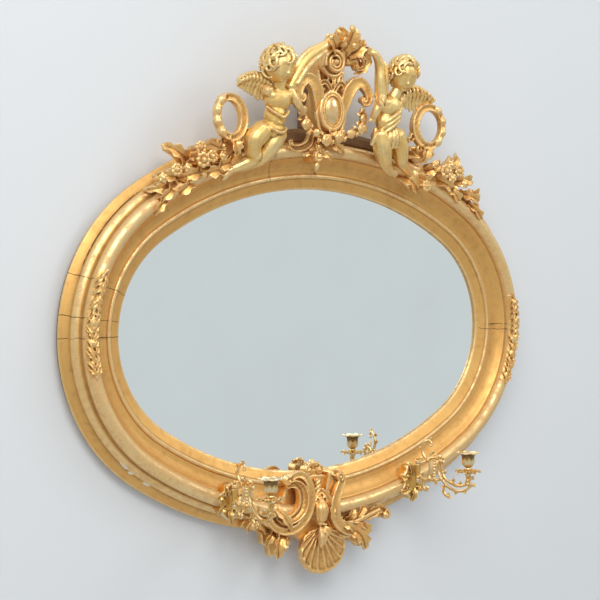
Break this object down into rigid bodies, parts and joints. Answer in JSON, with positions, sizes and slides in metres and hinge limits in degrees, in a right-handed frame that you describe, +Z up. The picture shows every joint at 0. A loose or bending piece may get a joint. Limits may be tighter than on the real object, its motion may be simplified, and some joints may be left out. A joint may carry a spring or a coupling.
{
  "type": "girandole mirror",
  "caption": "Oval giltwood wall mirror with carved winged children on the crest, a shell console below and swinging brass candle arms.",
  "frame": {"origin": "centre of the oval on the back plane that lies against the wall", "axes": "+X to the viewer's right, +Y into the wall, +Z up; the glass faces -Y"},
  "size_m": [1.15, 0.2434, 1.119],
  "materials": {
    "gilt_wood": "aged water gilding over carved wood",
    "gilt_brass": "cast, gilt and worn",
    "mirror": "silvered glass",
    "raw_wood": "bare softwood",
    "iron": "dark"
  },
  "bodies": {
    "frame": {"acanthus_left": "gilt_wood", "acanthus_right": "gilt_wood", "backboard_brads": "iron", "backboard_lower": "raw_wood", "backboard_middle": "raw_wood", "backboard_upper": "raw_wood", "console_cap": "gilt_wood", "console_core": "raw_wood", "console_scroll_left": "gilt_wood", "console_scroll_right": "gilt_wood", "console_shell": "gilt_wood", "console_stem": "gilt_wood", "crest_bracket": "raw_wood", "crest_cabochon": "gilt_wood", "crest_crown": "gilt_wood", "crest_foot": "gilt_wood", "crest_rail": "raw_wood", "crest_screws": "iron", "crest_shield": "gilt_wood", "crest_volute": "gilt_wood", "frame_lower_left": "gilt_wood", "frame_lower_right": "gilt_wood", "frame_tongues": "raw_wood", "frame_upper_left": "gilt_wood", "frame_upper_right": "gilt_wood", "glass_pads": "raw_wood", "hanger_plates": "iron", "hanger_screws": "iron", "mirror_plate": "mirror", "putto_arm_left": "gilt_wood", "putto_arm_right": "gilt_wood", "putto_body_left": "gilt_wood", "putto_body_right": "gilt_wood", "putto_head_left": "gilt_wood", "putto_head_right": "gilt_wood", "putto_wing_left": "gilt_wood", "putto_wing_right": "gilt_wood", "rose_garland": "gilt_wood", "sconce_pin_left": "iron", "sconce_pin_right": "iron", "sconce_plate_left": "gilt_brass", "sconce_plate_right": "gilt_brass", "sconce_screws": "gilt_brass", "scroll_ring_left": "gilt_wood", "scroll_ring_right": "gilt_wood", "shell_seed": "gilt_wood", "shield_scroll_left": "gilt_wood", "shield_scroll_right": "gilt_wood", "side_relief_left": "gilt_wood", "side_relief_right": "gilt_wood", "spray_flowers_left": "gilt_wood", "spray_flowers_right": "gilt_wood", "spray_leaves_left": "gilt_wood", "spray_leaves_right": "gilt_wood"},
    "arm_left": {"sconce_arm_left": "gilt_brass", "drip_pan_left": "gilt_brass", "candle_cup_left": "gilt_brass"},
    "arm_right": {"sconce_arm_right": "gilt_brass", "drip_pan_right": "gilt_brass", "candle_cup_right": "gilt_brass"}
  },
  "joints": [
    {"name": "arm_left_swing", "type": "hinge", "parent": "frame", "child": "arm_left", "pos_m": [-0.232, -0.087, -0.313], "axis": [0, 0, 1], "range_deg": [-73, 72]},
    {"name": "arm_right_swing", "type": "hinge", "parent": "frame", "child": "arm_right", "pos_m": [0.232, -0.087, -0.302], "axis": [0, 0, 1], "range_deg": [-83, 62]}
  ]
}
